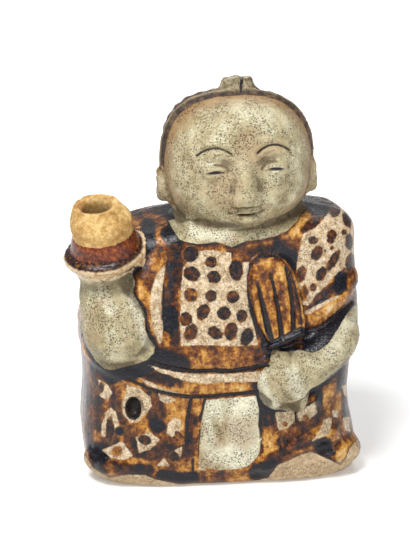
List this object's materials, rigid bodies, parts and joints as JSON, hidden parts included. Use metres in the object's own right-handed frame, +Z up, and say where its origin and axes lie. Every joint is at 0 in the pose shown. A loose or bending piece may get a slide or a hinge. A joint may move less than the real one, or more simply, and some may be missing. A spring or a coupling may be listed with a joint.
{
  "type": "stoneware figure",
  "caption": "Hollow glazed stoneware flask in the form of a seated figure that holds a ribbed fan, with a bare ring mouth gripped in its raised hand.",
  "frame": {"origin": "middle of the flat underside, on the surface that the figure stands on", "axes": "+Z up, -Y the way the figure faces, +X to the right as seen from the front"},
  "size_m": [0.1098, 0.0803, 0.1464],
  "materials": {
    "figure": "glossy crackled brown and ochre glaze over buff clay, bare matt clay on the skin, foot and mouth"
  },
  "bodies": {
    "root": {"figure": "figure"}
  },
  "joints": []
}
